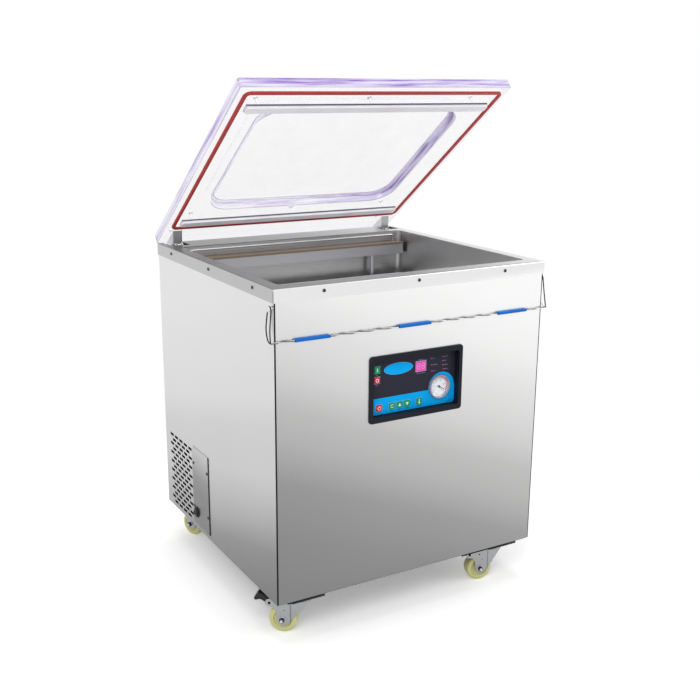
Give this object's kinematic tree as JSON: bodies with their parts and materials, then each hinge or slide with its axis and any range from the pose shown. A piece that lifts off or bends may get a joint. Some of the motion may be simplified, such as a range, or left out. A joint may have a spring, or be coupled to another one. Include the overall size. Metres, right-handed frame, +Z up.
{
  "type": "chamber vacuum sealer",
  "caption": "Floor-standing chamber vacuum sealer in brushed steel on braked castors, with a clear lid held open by gas struts, seal bars and a recessed control panel.",
  "frame": {"origin": "on the floor under the middle of the machine, with its lid open", "axes": "+Z up, -Y towards the front with the control panel, +X to the right seen from the front"},
  "size_m": [0.7238, 0.7135, 1.208],
  "materials": {
    "brushed_steel": "satin",
    "frame_steel": "satin",
    "board_plastic": "matte",
    "pump_paint": "satin",
    "hose_rubber": "matte",
    "core_steel": "matte",
    "panel_plastic": "matte",
    "display_plastic": "gloss",
    "black_plastic": "matte",
    "clear_glass": "gloss",
    "zinc": "satin",
    "clear_acrylic": "gloss",
    "red_silicone": "matte",
    "bar_aluminium": "satin",
    "pale_silicone": "matte",
    "chrome_steel": "polished",
    "brown_tape": "matte",
    "blue_sleeve": "matte",
    "green_key": "gloss",
    "red_key": "gloss",
    "needle_black": "matte",
    "black_steel": "satin",
    "wheel_cream": "matte"
  },
  "bodies": {
    "cabinet": {"front_panel": "brushed_steel", "left_panel": "brushed_steel", "right_panel": "brushed_steel", "rear_panel": "brushed_steel", "base_plate": "brushed_steel", "deck": "brushed_steel", "chamber": "brushed_steel", "service_cover": "brushed_steel", "bag_rods": "brushed_steel", "cabinet_screws": "brushed_steel", "inner_frame": "frame_steel", "hinge_brackets": "frame_steel", "lift_cylinders": "frame_steel", "filler_boards": "board_plastic", "vacuum_pump": "pump_paint", "vacuum_hose": "hose_rubber", "transformer": "core_steel", "control_frame": "panel_plastic", "control_face": "panel_plastic", "display_window": "display_plastic", "gauge_case": "black_plastic", "cable_gland": "black_plastic", "gauge_glass": "clear_glass", "castor_plates": "zinc"},
    "lid": {"lid_plate": "clear_acrylic", "lid_gasket": "red_silicone", "counter_bars": "bar_aluminium", "silicone_strips": "pale_silicone", "lid_screws": "chrome_steel", "hinge_arms": "frame_steel"},
    "front_bar": {"front_seal_bar": "bar_aluminium", "front_seal_tape": "brown_tape"},
    "rear_bar": {"rear_seal_bar": "bar_aluminium", "rear_seal_tape": "brown_tape"},
    "bail": {"bail_wire": "chrome_steel", "bail_sleeves": "blue_sleeve"},
    "on_key_body": {"on_key": "green_key"},
    "off_key_body": {"off_key": "red_key"},
    "stop_key_body": {"stop_key": "red_key"},
    "set_key_body": {"set_key": "green_key"},
    "up_key_body": {"up_key": "green_key"},
    "down_key_body": {"down_key": "green_key"},
    "heat_key_body": {"heat_key": "green_key"},
    "needle": {"gauge_needle": "needle_black"},
    "front_left_castor": {"front_left_fork": "zinc"},
    "front_left_roller": {"front_left_wheel": "wheel_cream"},
    "front_left_pedal": {"front_left_brake": "black_plastic"},
    "front_right_castor": {"front_right_fork": "zinc"},
    "front_right_roller": {"front_right_wheel": "wheel_cream"},
    "front_right_pedal": {"front_right_brake": "black_plastic"},
    "rear_left_castor": {"rear_left_fork": "zinc"},
    "rear_left_roller": {"rear_left_wheel": "wheel_cream"},
    "rear_left_pedal": {"rear_left_brake": "black_plastic"},
    "rear_right_castor": {"rear_right_fork": "zinc"},
    "rear_right_roller": {"rear_right_wheel": "wheel_cream"},
    "rear_right_pedal": {"rear_right_brake": "black_plastic"},
    "left_strut": {"left_strut_tube": "black_steel"},
    "left_piston": {"left_strut_rod": "chrome_steel"},
    "right_strut": {"right_strut_tube": "black_steel"},
    "right_piston": {"right_strut_rod": "chrome_steel"}
  },
  "joints": [
    {"name": "lid_hinge", "type": "hinge", "parent": "cabinet", "child": "lid", "pos_m": [0, 0.31275, 0.7735], "axis": [1, 0, 0], "range_deg": [0, 36.17], "stiffness_Nm_per_rad": 40, "springref_deg": -80.21},
    {"name": "front_bar_lift", "type": "slide", "parent": "cabinet", "child": "front_bar", "axis": [0, 0, 1], "range_m": [0, 0.0212]},
    {"name": "rear_bar_lift", "type": "slide", "parent": "cabinet", "child": "rear_bar", "axis": [0, 0, 1], "range_m": [0, 0.0212]},
    {"name": "bail_swing", "type": "hinge", "parent": "cabinet", "child": "bail", "pos_m": [0, -0.33275, 0.76], "axis": [-1, 0, 0], "range_deg": [0, 150]},
    {"name": "on_key_press", "type": "slide", "parent": "cabinet", "child": "on_key_body", "axis": [0, 1, 0], "range_m": [0, 0.001], "stiffness_N_per_m": 400, "springref_m": -0.001},
    {"name": "off_key_press", "type": "slide", "parent": "cabinet", "child": "off_key_body", "axis": [0, 1, 0], "range_m": [0, 0.001], "stiffness_N_per_m": 400, "springref_m": -0.001},
    {"name": "stop_key_press", "type": "slide", "parent": "cabinet", "child": "stop_key_body", "axis": [0, 1, 0], "range_m": [0, 0.001], "stiffness_N_per_m": 400, "springref_m": -0.001},
    {"name": "set_key_press", "type": "slide", "parent": "cabinet", "child": "set_key_body", "axis": [0, 1, 0], "range_m": [0, 0.001], "stiffness_N_per_m": 400, "springref_m": -0.001},
    {"name": "up_key_press", "type": "slide", "parent": "cabinet", "child": "up_key_body", "axis": [0, 1, 0], "range_m": [0, 0.001], "stiffness_N_per_m": 400, "springref_m": -0.001},
    {"name": "down_key_press", "type": "slide", "parent": "cabinet", "child": "down_key_body", "axis": [0, 1, 0], "range_m": [0, 0.001], "stiffness_N_per_m": 400, "springref_m": -0.001},
    {"name": "heat_key_press", "type": "slide", "parent": "cabinet", "child": "heat_key_body", "axis": [0, 1, 0], "range_m": [0, 0.001], "stiffness_N_per_m": 400, "springref_m": -0.001},
    {"name": "needle_turn", "type": "hinge", "parent": "cabinet", "child": "needle", "pos_m": [0.07, -0.32775, 0.536], "axis": [0, -1, 0], "range_deg": [-15, 255], "stiffness_Nm_per_rad": 0.001},
    {"name": "front_left_swivel", "type": "hinge", "parent": "cabinet", "child": "front_left_castor", "pos_m": [-0.27, -0.29975, 0.09], "axis": [0, 0, 1], "continuous": true},
    {"name": "front_left_roll", "type": "hinge", "parent": "front_left_castor", "child": "front_left_roller", "pos_m": [-0.29868, -0.27482, 0.0325], "axis": [0.6561, 0.7547, 0], "continuous": true},
    {"name": "front_left_brake_press", "type": "hinge", "parent": "front_left_castor", "child": "front_left_pedal", "pos_m": [-0.32057, -0.25579, 0.0725], "axis": [-0.6561, -0.7547, 0], "range_deg": [0, 20]},
    {"name": "front_right_swivel", "type": "hinge", "parent": "cabinet", "child": "front_right_castor", "pos_m": [0.27, -0.29975, 0.09], "axis": [0, 0, 1], "continuous": true},
    {"name": "front_right_roll", "type": "hinge", "parent": "front_right_castor", "child": "front_right_roller", "pos_m": [0.23313, -0.29056, 0.0325], "axis": [0.2419, 0.9703, 0], "continuous": true},
    {"name": "front_right_brake_press", "type": "hinge", "parent": "front_right_castor", "child": "front_right_pedal", "pos_m": [0.20499, -0.28354, 0.0725], "axis": [-0.2419, -0.9703, 0], "range_deg": [0, 20]},
    {"name": "rear_left_swivel", "type": "hinge", "parent": "cabinet", "child": "rear_left_castor", "pos_m": [-0.27, 0.26025, 0.09], "axis": [0, 0, 1], "continuous": true},
    {"name": "rear_left_roll", "type": "hinge", "parent": "rear_left_castor", "child": "rear_left_roller", "pos_m": [-0.28424, 0.29548, 0.0325], "axis": [0.9272, 0.3746, 0], "continuous": true},
    {"name": "rear_left_brake_press", "type": "hinge", "parent": "rear_left_castor", "child": "rear_left_pedal", "pos_m": [-0.2951, 0.32237, 0.0725], "axis": [-0.9272, -0.3746, 0], "range_deg": [0, 20]},
    {"name": "rear_right_swivel", "type": "hinge", "parent": "cabinet", "child": "rear_right_castor", "pos_m": [0.27, 0.26025, 0.09], "axis": [0, 0, 1], "continuous": true},
    {"name": "rear_right_roll", "type": "hinge", "parent": "rear_right_castor", "child": "rear_right_roller", "pos_m": [0.23709, 0.27925, 0.0325], "axis": [0.5, 0.866, 0], "continuous": true},
    {"name": "rear_right_brake_press", "type": "hinge", "parent": "rear_right_castor", "child": "rear_right_pedal", "pos_m": [0.21198, 0.29375, 0.0725], "axis": [-0.5, -0.866, 0], "range_deg": [0, 20]},
    {"name": "left_strut_swing", "type": "hinge", "parent": "cabinet", "child": "left_strut", "pos_m": [-0.30775, 0.28025, 0.567], "axis": [1, 0, 0], "range_deg": [-0.5, 3]},
    {"name": "left_strut_stroke", "type": "slide", "parent": "left_strut", "child": "left_piston", "axis": [0, 0.0151, 0.9999], "range_m": [-0.0245, 0.001]},
    {"name": "right_strut_swing", "type": "hinge", "parent": "cabinet", "child": "right_strut", "pos_m": [0.30775, 0.28025, 0.567], "axis": [1, 0, 0], "range_deg": [-0.5, 3]},
    {"name": "right_strut_stroke", "type": "slide", "parent": "right_strut", "child": "right_piston", "axis": [0, 0.0151, 0.9999], "range_m": [-0.0245, 0.001]}
  ],
  "couplings": [
    {"joint": "left_strut_swing", "follows": "lid_hinge", "ratio": 0.058},
    {"joint": "left_strut_stroke", "follows": "lid_hinge", "m_per_rad": -0.0328},
    {"joint": "right_strut_swing", "follows": "lid_hinge", "ratio": 0.058},
    {"joint": "right_strut_stroke", "follows": "lid_hinge", "m_per_rad": -0.0328}
  ]
}
